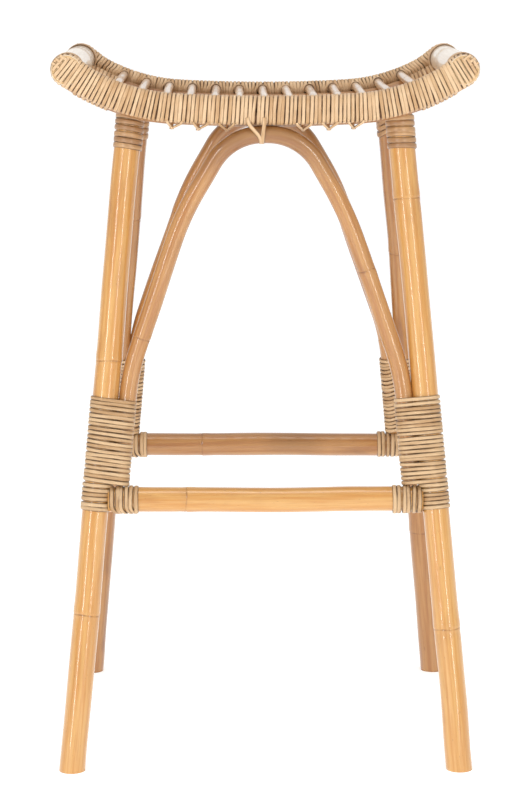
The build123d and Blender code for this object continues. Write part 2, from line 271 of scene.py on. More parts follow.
def refine_near(points, marks, reach=0.010, step=0.0006):
    """Adds points to an axis near the distances in marks, so that a joint ring has a shape."""
    lengths = np.concatenate([[0], np.cumsum(np.linalg.norm(np.diff(points, axis=0), axis=1))])
    wanted = [lengths]
    for mark in marks:
        wanted.append(np.arange(mark - reach, mark + reach, step))
    stations = np.unique(np.concatenate(wanted))
    stations = stations[(stations >= 0) & (stations <= lengths[-1])]
    stations = stations[np.concatenate([[True], np.diff(stations) > step / 3])]
    return np.column_stack([np.interp(stations, lengths, points[:, k]) for k in range(3)]), stations


def pole(name, axis, radius, seed, material, joints=(), hint=(0, -1, 0), sides=36,
         wander=0.0006, floor_cut=False):
    """A length of rattan along an axis: a little uneven, with a swelling and a dark groove at
    each joint ring, and sawn ends. joints are distances from the axis's first point."""
    rng = np.random.default_rng(seed)
    points, station = refine_near(np.asarray(axis, float), joints)
    tangent, first, second = moving_frame(points, hint)
    total = station[-1]
    fade = np.clip(np.minimum(station, total - station) / 0.03, 0, 1)
    drift_a = wander * fade * smooth_noise(rng, station, 0.09)
    drift_b = wander * fade * smooth_noise(rng, station, 0.09)
    size = 1 + 0.010 * fade * smooth_noise(rng, station, 0.05)
    angles = np.linspace(0, 2 * math.pi, sides, endpoint=False)
    joint = np.zeros((len(station), sides))
    for mark in joints:
        d = station - mark
        swelling = 0.030 * np.exp(-((d - 0.003) / 0.008) ** 2)
        size += swelling - 0.022 * np.exp(-((d + 0.004) / 0.005) ** 2)
        size -= 0.022 * np.exp(-(d / 0.0009) ** 2)
        wave = 0.0009 * np.sin(angles + rng.uniform(0, 6))
        wave = wave + 0.0004 * np.sin(3 * angles + rng.uniform(0, 6))
        ring_d = d[:, None] - wave[None, :]
        joint = np.maximum(joint, np.exp(-(ring_d / 0.0011) ** 2))
        joint = np.maximum(joint, 0.32 * np.exp(-((ring_d + 0.003) / 0.0060) ** 2))
    oval = 0.994 + 0.006 * np.cos(2 * angles + rng.uniform(0, 6))
    around = radius * size[:, None] * oval[None, :]
    a = around * np.cos(angles) + drift_a[:, None]
    b = around * np.sin(angles) + drift_b[:, None]
    body = points[:, None, :] + a[..., None] * first[:, None, :] + b[..., None] * second[:, None, :]
    local = np.stack([np.repeat(station[:, None], sides, 1), a, b], axis=-1)
    vertices, coords = [body.reshape(-1, 3)], [local.reshape(-1, 3)]
    ring = [joint.ravel()]
    grain_end = [np.zeros(body.shape[0] * sides)]
    faces = ring_faces(len(points), sides)
    # sawn ends: a small round edge, then rings in to a middle point
    count = body.shape[0] * sides
    for end, sign in ((0, -1), (-1, 1)):
        rim = body[end]
        centre = rim.mean(axis=0)
        previous = 0 if end == 0 else (body.shape[0] - 1) * sides
        for scale, cut in ((0.985, 0.0), (0.93, 1.0), (0.55, 1.0), (0.12, 1.0)):
            loop = centre + (rim - centre) * scale
            vertices.append(loop)
            flat = local[end].copy()
            flat[:, 1:] *= scale
            coords.append(flat)
            ring.append(np.zeros(sides))
            grain_end.append(np.full(sides, cut))
            for j in range(sides):
                k = (j + 1) % sides
                quad = (previous + j, previous + k, count + k, count + j)
                faces.append(quad if sign > 0 else quad[::-1])
            previous = count
            count += sides
        cap = tuple(range(previous, previous + sides))
        faces.append(cap if sign > 0 else cap[::-1])
    vertices = np.vstack(vertices)
    if floor_cut:
        below = vertices[:, 2] < 0
        vertices[below] -= vertices[below, 2:3] / tangent[0][2] * tangent[0]
    seed_shift = rng.uniform(0, 50)
    coords = np.vstack(coords) + np.array([seed_shift, 0, 0])
    return make_mesh(name, vertices, faces, {"pole_co": coords},
                     {"joint": np.concatenate(ring), "sawn": np.concatenate(grain_end)}, material)


# ---------------------------------------------------------------- peel windings
PEEL_ACROSS = np.array([-1.0, -0.86, -0.5, 0.0, 0.5, 0.86, 1.0, 0.8, -0.8])
PEEL_HEIGHT = np.array([0.30, 0.72, 0.95, 1.0, 0.95, 0.72, 0.30, -0.15, -0.15])


def strand(name_parts, centre, axis, out, width, height, tone, rng):
    """Adds one flat, domed strip of peel along centre. axis points across it, out away from
    what it lies on."""
    count = len(centre)
    profile = len(PEEL_ACROSS)
    w = np.broadcast_to(np.asarray(width, float), (count,))[:, None] / 2
    h = np.broadcast_to(np.asarray(height, float), (count,))[:, None]
    across = PEEL_ACROSS[None, :] * w
    up = PEEL_HEIGHT[None, :] * h
    verts = centre[:, None, :] + across[..., None] * axis[:, None, :]
    verts = verts + up[..., None] * out[:, None, :]
    run = np.concatenate([[0], np.cumsum(np.linalg.norm(np.diff(centre, axis=0), axis=1))])
    run = run + rng.uniform(0, 20)
    data = np.stack(
        [
            np.repeat(run[:, None], profile, 1),
            np.repeat(PEEL_ACROSS[None, :], count, 0),
            np.repeat(np.broadcast_to(np.asarray(tone, float), (count,))[:, None], profile, 1),
        ],
        axis=-1,
    )
    base = sum(len(v) for v in name_parts["verts"])
    name_parts["verts"].append(verts.reshape(-1, 3))
    name_parts["data"].append(data.reshape(-1, 3))
    faces = ring_faces(count, profile, base)
    faces.append(tuple(range(base + profile - 1, base - 1, -1)))
    last = base + (count - 1) * profile
    faces.append(tuple(range(last, last + profile)))
    name_parts["faces"].extend(faces)


def new_parts():
    """Empty lists for the strands of one piece."""
    return {"verts": [], "data": [], "faces": []}


def finish_strands(name, parts, material, nodes):
    """Makes one piece of the strands in parts."""
    verts = np.vstack(parts["verts"])
    data = np.vstack(parts["data"])
    place_piece(make_mesh(name, verts, parts["faces"], {"strand": data}, {}, material), nodes)


def hull_outline(circles, count=72):
    """Closed outline of a band pulled tight round circles (a, b, radius): evenly spaced points
    and their outward normals."""
    fine = np.linspace(0, 2 * math.pi, 720, endpoint=False)
    direction = np.column_stack([np.cos(fine), np.sin(fine)])
    supports = np.stack([direction @ np.array([a, b]) + r for a, b, r in circles])
    best = supports.argmax(axis=0)
    centre = np.array([[a, b] for a, b, _ in circles])[best]
    radius = np.array([r for _, _, r in circles])[best]
    points = centre + direction * radius[:, None]
    closed = np.vstack([points, points[:1]])
    length = np.concatenate([[0], np.cumsum(np.linalg.norm(np.diff(closed, axis=0), axis=1))])
    wanted = np.linspace(0, length[-1], count, endpoint=False)
    outline = np.column_stack([np.interp(wanted, length, closed[:, k]) for k in (0, 1)])
    ahead = np.roll(outline, -1, axis=0) - np.roll(outline, 1, axis=0)
    normal = np.column_stack([ahead[:, 1], -ahead[:, 0]])
    normal /= np.linalg.norm(normal, axis=1)[:, None]
    return outline, normal


def wind(parts, start, end, first, circles, pitch, seed, width=0.96, tilt=0.0, tone=0.0,
         height=PEEL, steps=40, rough=1.0, step_at=0.0):
    """Winds one strand from start to end round straight poles, given as circles in the
    directions first and first x axis. Each turn lies flat and steps on to the next where
    step_at says, as a share of the way round. tilt leans the turns, as a rise along first."""
    rng = np.random.default_rng(seed)
    start, end = np.asarray(start, float), np.asarray(end, float)
    axis = unit(end - start)
    first = unit(first - axis * axis.dot(first))
    second = np.cross(axis, first)
    run = np.linalg.norm(end - start)
    turns = max(1, round(run / pitch))
    pitch = run / turns
    outline, normal = hull_outline(circles)
    t = np.linspace(0, turns, turns * steps + 1)
    place = (t + step_at) % 1.0 * len(outline)
    i = place.astype(int) % len(outline)
    f = (place - place.astype(int))[:, None]
    flat = outline[i] * (1 - f) + outline[(i + 1) % len(outline)] * f
    flat_normal = normal[i] * (1 - f) + normal[(i + 1) % len(outline)] * f
    turn = np.minimum(np.floor(t), turns - 1)
    share = t - turn
    stepping = np.clip((share - 0.80) / 0.20, 0, 1)
    flat_turn = turn + stepping * stepping * (3 - 2 * stepping) * (turn < turns - 1)
    shifts = rough * 0.09 * pitch * rng.normal(size=turns + 1)
    turn_shift = np.interp(flat_turn, np.arange(turns + 1), shifts)
    wobble = rough * 0.06 * pitch * smooth_noise(rng, t, 0.30)
    along = (flat_turn + 0.5) * pitch + wobble + turn_shift + tilt * flat[:, 0]
    tuck = np.clip(np.minimum(t, turns - t) / 0.06, 0, 1)
    lift = rough * 0.00012 * smooth_noise(rng, t, 0.5) - (1 - tuck) * height
    out = flat_normal[:, :1] * first + flat_normal[:, 1:] * second
    centre = start + along[:, None] * axis + flat[:, :1] * first + flat[:, 1:] * second
    centre = centre + out * lift[:, None]
    across = np.broadcast_to(axis, centre.shape)
    widths = pitch * width * (1 + 0.05 * rough * smooth_noise(rng, t, 0.8))
    tones = tone + np.interp(flat_turn, np.arange(turns + 1), 0.6 * rng.normal(size=turns + 1))
    tones = tones + 0.25 * smooth_noise(rng, t, 0.3)
    strand(parts, centre, across, out, widths, height, tones, rng)


# ---------------------------------------------------------------- materials
class Nodes:
    """Short way to write a node tree."""

    def __init__(self, name):
        self.material = bpy.data.materials.new(name)
        self.material.use_nodes = True
        self.tree = self.material.node_tree
        self.tree.nodes.clear()

    def add(self, kind, settings=None, **inputs):
        node = self.tree.nodes.new(kind)
        for key, value in (settings or {}).items():
            setattr(node, key, value)
        for key, value in inputs.items():
            numbered = key[0] == "i" and key[1:].isdigit()
            socket = node.inputs[int(key[1:]) if numbered else key]
            if isinstance(value, bpy.types.NodeSocket):
                self.tree.links.new(value, socket)
            else:
                socket.default_value = value
        return node

    def math(self, operation, a, b=0.0, clamp=False):
        settings = {"operation": operation, "use_clamp": clamp}
        return self.add("ShaderNodeMath", settings, i0=a, i1=b).outputs[0]

    def mix(self, factor, a, b, blend="MIX"):
        node = self.add("ShaderNodeMix", {"data_type": "RGBA", "blend_type": blend}, Factor=factor)
        for index, value in ((6, a), (7, b)):
            if isinstance(value, bpy.types.NodeSocket):
                self.tree.links.new(value, node.inputs[index])
            else:
                node.inputs[index].default_value = (*value, 1.0)
        return node.outputs[2]

    def ramp(self, value, low, high):
        """0 below low, 1 above high, smooth between."""
        node = self.add("ShaderNodeMapRange", {"interpolation_type": "SMOOTHSTEP"}, Value=value)
        node.inputs["From Min"].default_value = low
        node.inputs["From Max"].default_value = high
        return node.outputs[0]

    def noise(self, vector, scale, stretch=(1, 1, 1), detail=3.0, roughness=0.55):
        settings = {"operation": "MULTIPLY"}
        spread = self.add("ShaderNodeVectorMath", settings, i0=vector, i1=stretch).outputs[0]
        node = self.add("ShaderNodeTexNoise", None, Vector=spread, Scale=scale, Detail=detail,
                        Roughness=roughness)
        return node.outputs[0]

    def finish(self, color, roughness, bump, coat=0.0, coat_roughness=0.1, bump_distance=0.0004,
               bump_strength=0.5, specular=0.5):
        raised = self.add("ShaderNodeBump", None, Height=bump, Distance=bump_distance,
                          Strength=bump_strength)
        shader = self.add("ShaderNodeBsdfPrincipled", None, Normal=raised.outputs[0])
        self.tree.links.new(color, shader.inputs["Base Color"])
        self.tree.links.new(roughness, shader.inputs["Roughness"])
        shader.inputs["Coat Weight"].default_value = coat
        shader.inputs["Coat Roughness"].default_value = coat_roughness
        shader.inputs["Specular IOR Level"].default_value = specular
        output = self.add("ShaderNodeOutputMaterial")
        self.tree.links.new(shader.outputs[0], output.inputs[0])
        return self.material


def linear(red, green, blue):
    """Linear colour of an sRGB colour given from 0 to 255."""
    values = []
    for part in (red, green, blue):
        c = part / 255
        values.append(c / 12.92 if c <= 0.04045 else ((c + 0.055) / 1.055) ** 2.4)
    return tuple(values)


def pole_material(name, light, body, dark, gloss=0.24, coat=0.85, streak=0.5, stain=0.35,
                  crown_shade=0.0):
    """Lacquered rattan skin: long streaks, soft blotches, short dark flecks, dark joint rings and
    pored sawn ends. crown_shade paints shade on it, darker towards the arch's crown under the seat.
    The colours are sRGB, from 0 to 255."""
    light, body, dark = (linear(*color) for color in (light, body, dark))
    n = Nodes(name)
    co = n.add("ShaderNodeAttribute", {"attribute_name": "pole_co"}).outputs["Vector"]
    joint = n.add("ShaderNodeAttribute", {"attribute_name": "joint"}).outputs["Fac"]
    sawn = n.add("ShaderNodeAttribute", {"attribute_name": "sawn"}).outputs["Fac"]
    long_streaks = n.noise(co, 1.0, (9, 260, 260), detail=4.0)
    fine_streaks = n.noise(co, 1.0, (30, 1400, 1400), detail=3.0)
    blotches = n.noise(co, 1.0, (14, 55, 55), detail=3.0)
    bands = n.noise(co, 1.0, (5, 12, 12), detail=2.0)
    color = n.mix(n.ramp(long_streaks, 0.5 - streak * 0.3, 0.5 + streak * 0.3), body, light)
    color = n.mix(n.math("MULTIPLY", n.ramp(blotches, 0.50, 0.78), stain), color, dark)
    color = n.mix(n.math("MULTIPLY", n.ramp(fine_streaks, 0.52, 0.80), 0.30), color, dark)
    color = n.mix(n.math("MULTIPLY", n.ramp(bands, 0.52, 0.72), 0.35), color, light)
    flecks = n.noise(co, 1.0, (190, 900, 900), detail=1.0)
    color = n.mix(n.math("MULTIPLY", n.ramp(flecks, 0.72, 0.80), 0.45), color, linear(120, 70, 34))
    smudges = n.noise(co, 1.0, (26, 95, 95), detail=5.0, roughness=0.7)
    smudged = n.math("MULTIPLY", n.ramp(smudges, 0.66, 0.80), stain * 1.4)
    color = n.mix(smudged, color, linear(112, 70, 38))
    ring_edge = n.noise(co, 1.0, (300, 420, 420), detail=2.0)
    patchy = n.ramp(n.noise(co, 1.0, (30, 110, 110), detail=3.0), 0.36, 0.66)
    strength = n.math("ADD", 0.25, n.math("MULTIPLY", ring_edge, 0.25))
    strength = n.math("ADD", n.math("MULTIPLY", patchy, 0.45), strength)
    ring = n.math("MULTIPLY", joint, strength, clamp=True)
    color = n.mix(n.math("MULTIPLY", n.ramp(ring, 0.06, 0.95), 0.72), color, linear(122, 76, 42))
    where = n.add("ShaderNodeNewGeometry").outputs["Position"]
    height_up = n.add("ShaderNodeSeparateXYZ", None, Vector=where).outputs[2]
    # Painted shade: the pole turns darker brown towards the arch's crown, where the seat shades it.
    shade_wash = n.math("MULTIPLY", n.ramp(height_up, 0.605, 0.672), crown_shade)
    color = n.mix(shade_wash, color, linear(112, 72, 40))
    pores = n.add("ShaderNodeTexVoronoi", None, Vector=co, Scale=1700.0).outputs["Distance"]
    pore = n.ramp(pores, 0.15, 0.45)
    end_color = n.mix(pore, linear(110, 76, 44), linear(214, 176, 122))
    color = n.mix(sawn, color, end_color)
    rough = n.math("ADD", gloss, n.math("MULTIPLY", fine_streaks, 0.14))
    rough = n.math("ADD", rough, n.math("MULTIPLY", n.math("MAXIMUM", sawn, joint), 0.35))
    height = n.math("MULTIPLY", blotches, 0.5)
    height = n.math("ADD", n.math("MULTIPLY", fine_streaks, 0.25), height)
    height = n.math("ADD", height, n.math("MULTIPLY", n.math("MULTIPLY", pore, sawn), 0.4))
    return n.finish(color, rough, height, coat=coat, coat_roughness=0.07)


def peel_material(name, light, body, brown, shade_wash, coat=0.25, gloss=0.36, groove=0.66):
    """Strips of rattan peel: each turn its own tone, fine lengthwise fibres, painted shade
    darkening the edges into the grooves, and patches of brown stain. The colours are sRGB, from 0
    to 255."""
    light, body, brown = (linear(*color) for color in (light, body, brown))
    n = Nodes(name)
    data = n.add("ShaderNodeAttribute", {"attribute_name": "strand"}).outputs["Vector"]
    parts = n.add("ShaderNodeSeparateXYZ", None, Vector=data)
    _, across, tone = parts.outputs
    fibres = n.noise(data, 1.0, (26, 5.5, 0.0), detail=4.0, roughness=0.6)
    patches = n.noise(data, 1.0, (38, 0.6, 1.3), detail=3.0)
    where = n.add("ShaderNodeNewGeometry").outputs["Position"]
    # This noise sets both the brown stain patches and how far the painted groove shade reaches.
    stain = n.noise(where, 42.0, detail=4.0, roughness=0.65)
    amount = n.math("ADD", n.math("MULTIPLY", tone, 0.22), n.math("MULTIPLY", patches, 1.0))
    color = n.mix(n.ramp(amount, 0.28, 0.80), light, body)
    color = n.mix(n.math("MULTIPLY", n.ramp(fibres, 0.50, 0.78), 0.42), color, brown)
    # Painted shade: each strip darkens to dark brown towards its edges, into the grooves between
    # turns.
    groove_shade = n.math("ABSOLUTE", across, 0.0)
    groove_shade = n.math("ADD", groove_shade, n.math("MULTIPLY", n.math("SUBTRACT", stain, 0.5), 0.9))
    groove_shade = n.math("ADD", groove_shade, n.math("MULTIPLY", n.math("SUBTRACT", fibres, 0.5), 0.35))
    color = n.mix(n.math("MULTIPLY", n.ramp(groove_shade, groove, 1.02), shade_wash), color, linear(74, 46, 26))
    heavy = n.ramp(stain, 0.60, 0.78)
    color = n.mix(n.math("MULTIPLY", heavy, 0.40 * shade_wash), color, brown)
    rough = n.math("ADD", gloss, n.math("MULTIPLY", fibres, 0.25))
    height = n.math("MULTIPLY", fibres, 0.8)
    return n.finish(color, rough, height, coat=coat, coat_roughness=0.22, bump_distance=0.0005)


def steel_material():
    """Drawn wire: fine scratches and a few dull spots."""
    n = Nodes("wire_steel")
    where = n.add("ShaderNodeNewGeometry").outputs["Position"]
    spots = n.noise(where, 900.0, detail=3.0)
    color = n.mix(n.ramp(spots, 0.4, 0.7), linear(150, 150, 154), linear(96, 92, 88))
    material = n.finish(color, n.math("ADD", 0.3, n.math("MULTIPLY", spots, 0.3)), spots)
    shader = next(k for k in n.tree.nodes if k.type == "BSDF_PRINCIPLED")
    shader.inputs["Metallic"].default_value = 1.0
    return material


def core_material():
    """Poles that the windings cover, dark brown as painted shade where they show between the turns.
    """
    n = Nodes("covered_pole")
    where = n.add("ShaderNodeNewGeometry").outputs["Position"]
    streaks = n.noise(where, 1.0, (60, 700, 700), detail=4.0)
    color = n.mix(n.ramp(streaks, 0.35, 0.7), linear(120, 80, 46), linear(74, 46, 26))
    return n.finish(color, n.math("ADD", 0.5, n.math("MULTIPLY", streaks, 0.2)), streaks)


HONEY = pole_material("honey_pole", (218, 167, 98), (205, 144, 71), (166, 104, 44))
# The arch's colours are darker than honey_pole's as painted shade under the seat, and crown_shade
# paints more shade at its crown.
ARCH_POLE_SHADED = pole_material("arch_pole", (196, 144, 86), (177, 119, 62), (137, 83, 36), stain=0.45,
                          crown_shade=0.48)
# A shaded copy of honey_pole: darker and browner as painted shade for the back legs and the back
# and side stretchers, which get less light.
BACK_SHADED = pole_material("back_pole_shaded", (185, 134, 78), (167, 111, 56), (122, 73, 33), stain=0.55)
# The bearers are a dark tan as painted shade, where they lie under the rails and between the rods.
BEARER_SHADED = pole_material("bearer_pole_shaded", (190, 142, 94), (158, 110, 68), (104, 68, 40), gloss=0.34,
                       coat=0.2)
PALE = pole_material("pale_rod", (202, 162, 118), (183, 140, 96), (142, 99, 60), gloss=0.26,
                     coat=0.5, stain=0.25)
# The end rolls are near-white, paler than the rods' own colour: a painted highlight of the overhead
# light across their tops.
ROLL_HIGHLIT = pole_material("highlit_roll", (230, 212, 188), (219, 195, 165), (184, 151, 116), gloss=0.26,
                     coat=0.5, stain=0.15)
# The number after the colours sets each peel's painted shade in the grooves and its brown stain
# patches.
RAIL_PEEL = peel_material("rail_peel", (224, 190, 149), (194, 153, 107), (150, 104, 62), 0.85)
JOINT_PEEL = peel_material("joint_peel", (213, 179, 136), (182, 142, 96), (146, 100, 58), 0.9,
                           groove=0.50)
TOP_PEEL = peel_material("leg_top_peel", (201, 158, 109), (165, 122, 80), (120, 78, 46), 0.75,
                         coat=0.5, gloss=0.26)
STEEL = steel_material()
CORE = core_material()


# ---------------------------------------------------------------- poles
def z_mark(side, face, z):
    """Distance up a leg from its foot to height z."""
    return float(np.linalg.norm(leg_point(side, face, z) - leg_point(side, face, 0)))


LEG_JOINT_HEIGHTS = {
    "front_left": (0.166, 0.434),
    "front_right": (0.150, 0.605),
    "back_left": (0.230, 0.560),
    "back_right": (0.178, 0.520),
}


def build_legs():
    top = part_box("front_left_leg")[1][2]
    for seed, (corner, (side, face)) in enumerate(CORNERS.items(), start=11):
        low = leg_point(side, face, 0) - leg_up(side, face) * FOOT_MARGIN
        axis = straight(low, leg_point(side, face, top - 0.001))
        marks = [z_mark(side, face, z) + FOOT_MARGIN for z in LEG_JOINT_HEIGHTS[corner]]
        # The back legs take the darker copy: painted shade.
        material = HONEY if face < 0 else BACK_SHADED
        leg = pole(f"leg_{corner}", axis, LEG_R, seed, material, marks, floor_cut=True)
        place_piece(leg, [f"{corner}_leg"])


def build_arches():
    joints = {"front": (0.16, 0.62), "back": (0.27, 0.74)}
    for seed, (name, face) in enumerate(FACES.items(), start=21):
        arch = pole(f"arch_{name}", arch_axis(face), ARCH_R, seed, ARCH_POLE_SHADED, joints[name],
                    sides=30)
        place_piece(arch, [f"{name}_arch"])


def build_stretchers():
    marks = {"front": (0.083,), "back": (0.096,), "left": (0.16,), "right": (0.10,)}
    ends = {
        "front": (leg_point(-1, -1, STRETCHER_Z), leg_point(1, -1, STRETCHER_Z)),
        "back": (leg_point(-1, 1, STRETCHER_Z), leg_point(1, 1, STRETCHER_Z)),
        "left": (leg_point(-1, -1, STRETCHER_Z), leg_point(-1, 1, STRETCHER_Z)),
        "right": (leg_point(1, -1, STRETCHER_Z), leg_point(1, 1, STRETCHER_Z)),
    }
    for seed, (name, (a, b)) in enumerate(ends.items(), start=31):
        trim = unit(b - a) * STRETCHER_TRIM
        # The back and side stretchers take the darker copy: painted shade.
        material = HONEY if name == "front" else BACK_SHADED
        stretcher = pole(f"stretcher_{name}", straight(a + trim, b - trim), STRETCHER_R, seed,
                         material, marks[name], hint=(0, 0, 1))
        place_piece(stretcher, [f"{name}_stretcher"])


def build_seat_poles():
    for seed, (name, face) in enumerate(FACES.items(), start=41):
        x, z = saddle_point(np.linspace(-ROLL_X, ROLL_X, 120), BEARER_LIFT)
        axis = np.column_stack([x, np.full_like(x, face * BEARER_Y), z])[1:-1]
        bearer = pole(f"bearer_{name}", axis, BEARER_R, seed, BEARER_SHADED, (0.09, 0.33), sides=28,
                      wander=0.0)
        place_piece(bearer, [f"{name}_seat_bearer"])
    half = RAIL_Y + RAIL_POLE_R
    for seed, (name, side) in enumerate(SIDES.items(), start=51):
        axis = straight((side * ROLL_X, -half, ROLL_Z), (side * ROLL_X, half, ROLL_Z))
        roll = pole(f"end_roll_{name}", axis, ROLL_R, seed, ROLL_HIGHLIT, (0.19,), hint=(0, 0, 1),
                    wander=0.0)
        place_piece(roll, [f"{name}_end_roll"])
    rng = np.random.default_rng(60)
    for number, x in enumerate(ROD_XS, start=1):
        rod_x, rod_z = saddle_point(x, RAIL_POLE_R)
        axis = straight((rod_x, -RAIL_INNER_Y, rod_z), (rod_x, RAIL_INNER_Y, rod_z))
        mark = rng.uniform(0.05, 0.22)
        rod = pole(f"seat_rod_{number:02d}_pole", axis, ROD_R, 60 + number, PALE, (mark,),
                   hint=(0, 0, 1), sides=24, wander=0.0004)
        place_piece(rod, [f"seat_rod_{number:02d}"])


# ---------------------------------------------------------------- windings
def build_rail_windings():
    """One strand round each rail from tip to tip: it spreads round the rods' ends on the inner
    side, and its turns shorten over the round end caps."""
    pitch = RAIL_PITCH
    steps = 44
    fine_x = np.linspace(-ROLL_X, ROLL_X, 800)
    px, pz = saddle_point(fine_x)
    length = np.concatenate([[0], np.cumsum(np.hypot(np.diff(px), np.diff(pz)))])
    half_run = length[-1] / 2
    rod_runs = [float(np.interp(x, fine_x, length)) - half_run for x in ROD_XS]
    for seed, (name, face) in enumerate(FACES.items(), start=71):
        rng = np.random.default_rng(seed)
        parts = new_parts()
        reach = half_run + CAP_R - 0.0026
        turns = 2 * reach / pitch
        t = np.linspace(0, turns, int(turns * steps))
        run = -reach + t * pitch
        run = run + 0.055 * pitch * smooth_noise(rng, t, 1.0)
        run = run + 0.05 * pitch * smooth_noise(rng, t, 0.3)
        past = np.maximum(np.abs(run) - half_run, 0)
        outer_past = past + np.minimum(past, 0.0020)
        near_end = np.clip((np.abs(run) - half_run + 0.030) / 0.030, 0, 1)
        swell = near_end * near_end * (3 - 2 * near_end)
        half = RAIL_HALF_HEIGHT + (CAP_R - RAIL_HALF_HEIGHT) * swell
        half = np.where(past > 0, np.sqrt(np.maximum(CAP_R**2 - outer_past**2, 0.000004)), half)
        # place round the slot-shaped section: height b, depth a and the outward normal
        corner = np.minimum(RAIL_HALF_DEPTH, half)
        flat = 2 * (half - corner)
        arc = math.pi * corner
        loop = 2 * flat + 2 * arc
        s = (t % 1.0) * loop
        b = np.empty_like(s)
        a = np.empty_like(s)
        na, nb = np.empty_like(s), np.empty_like(s)
        outer = s < flat
        b[outer], a[outer] = (-flat / 2 + s)[outer], corner[outer]
        na[outer], nb[outer] = 1, 0
        over = (s >= flat) & (s < flat + arc)
        angle = ((s - flat) / corner)[over]
        b[over] = (flat / 2)[over] + corner[over] * np.sin(angle)
        a[over] = corner[over] * np.cos(angle)
        na[over], nb[over] = np.cos(angle), np.sin(angle)
        inner = (s >= flat + arc) & (s < 2 * flat + arc)
        b[inner], a[inner] = (flat / 2 - (s - flat - arc))[inner], -corner[inner]
        na[inner], nb[inner] = -1, 0
        under = s >= 2 * flat + arc
        angle = ((s - 2 * flat - arc) / corner)[under]
        b[under] = -(flat / 2)[under] - corner[under] * np.sin(angle)
        a[under] = -corner[under] * np.cos(angle)
        na[under], nb[under] = -np.cos(angle), -np.sin(angle)
        # depth keeps the full thickness of the rail over the caps
        a = a * RAIL_HALF_DEPTH / corner
        # the middle of the face dips a little between the two poles
        a = a - np.sign(a) * 0.0007 * np.exp(-((b / 0.0030) ** 2)) * (np.abs(na) > 0.9)
        # turns part on the inner side round each rod
        for rod_run in rod_runs:
            d = run - rod_run
            above = np.clip((0.0145 - b) / 0.0075, 0, 1)
            below = np.clip((b + 0.004) / 0.005, 0, 1)
            gap = (ROD_R + 0.0012) * above * below * (a < 0.002)
            run = rod_run + np.where(d >= 0, 1, -1) * np.sqrt(d * d + gap * gap)
        x_at = np.interp(run + half_run, length, fine_x)
        angle = saddle_angle(x_at)
        beyond = np.sign(run) * past
        cx, cz = saddle_point(x_at)
        cx = cx + beyond * np.cos(angle)
        cz = cz + beyond * np.sin(angle)
        thick = PEEL * 0.95
        drop_a, drop_b = na * thick, nb * thick
        centre = np.column_stack([
            cx - (b - drop_b) * np.sin(angle),
            face * (RAIL_Y + a - drop_a),
            cz + (b - drop_b) * np.cos(angle),
        ])
        out = np.column_stack([-nb * np.sin(angle), face * na, nb * np.cos(angle)])
        across = np.column_stack([np.cos(angle), np.zeros_like(angle), np.sin(angle)])
        widths = pitch * 0.94 * (1 + 0.05 * smooth_noise(rng, t, 0.9))
        tones = 0.6 * smooth_noise(rng, t, 1.0) + 0.25 * smooth_noise(rng, t, 0.3)
        strand(parts, centre, across, out, widths, thick, tones, rng)
        add_cap_weave(parts, face, rng)
        finish_strands(f"rail_wrap_{name}", parts, RAIL_PEEL,
                       [f"{name}_rail_winding"])


def add_cap_weave(parts, face, rng):
    """Short crosswise strips woven over and under the last turns at each end cap."""
    for side in (-1, 1):
        angle = side * END_ANGLE
        along = np.array([side * math.cos(angle), 0, side * math.sin(angle)])
        up = np.array([-math.sin(angle), 0, math.cos(angle)])
        centre = np.array([side * ROLL_X, 0, ROLL_Z])
        for row, height in enumerate((-0.0020, 0.0035, 0.0090)):
            tip = math.sqrt(CAP_R**2 - height**2)
            reach = np.linspace(tip - 0.0100, tip - 0.0008, 16)
            weave = 0.0007 * np.cos((reach - reach[0]) / 0.0086 * 2 * math.pi + math.pi * row)
            y = RAIL_Y + RAIL_HALF_DEPTH - PEEL + weave
            y = y - 0.0035 * np.clip((reach - tip + 0.003) / 0.003, 0, 1) ** 2
            path = centre + reach[:, None] * along + height * up
            path[:, 1] = face * y
            out = np.tile(np.array([0.0, face, 0.0]), (len(reach), 1))
            across = np.tile(up, (len(reach), 1))
            strand(parts, path, across, out, 0.0036, PEEL * 0.7, rng.normal() * 0.5, rng)


def build_leg_windings():
    for seed, (corner, (side, face)) in enumerate(CORNERS.items(), start=81):
        inward = leg_inward(side, face)
        # the turns step on at the side that faces the middle of the stool's depth
        step_at = 0.25 if side * face > 0 else 0.75

        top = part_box(f"{corner}_leg_top_winding")[1][2] + 0.001
        parts = new_parts()
        wind(parts, leg_point(side, face, TOP_WRAP_LOW), leg_point(side, face, top), inward,
             [(0, 0, LEG_R)], TOP_PITCH, seed, height=0.0016, tilt=0.07 * side, tone=0.3,
             step_at=step_at)
        finish_strands(f"top_wrap_{corner}", parts, TOP_PEEL,
                       [f"{corner}_leg_top_winding"])

        parts = new_parts()
        wind(parts, leg_point(side, face, ARCH_WRAP_LOW), leg_point(side, face, ARCH_WRAP_HIGH),
             inward, [(0, 0, LEG_R), (ARCH_FOOT_OFFSET, 0, ARCH_R)], ARCH_PITCH, seed + 10,
             width=0.95, rough=1.1, tilt=-0.05 if side < 0 else 0.0, steps=56, step_at=step_at)
        finish_strands(f"arch_wrap_{corner}", parts, JOINT_PEEL,
                       [f"{corner}_arch_winding"])

        parts = new_parts()
        wind(parts, leg_point(side, face, JOINT_WRAP_LOW), leg_point(side, face, JOINT_WRAP_HIGH),
             inward, [(0, 0, LEG_R)], JOINT_PITCH, seed + 20, height=0.0021, step_at=step_at)
        finish_strands(f"joint_wrap_{corner}", parts, JOINT_PEEL,
                       [f"{corner}_joint_winding"])


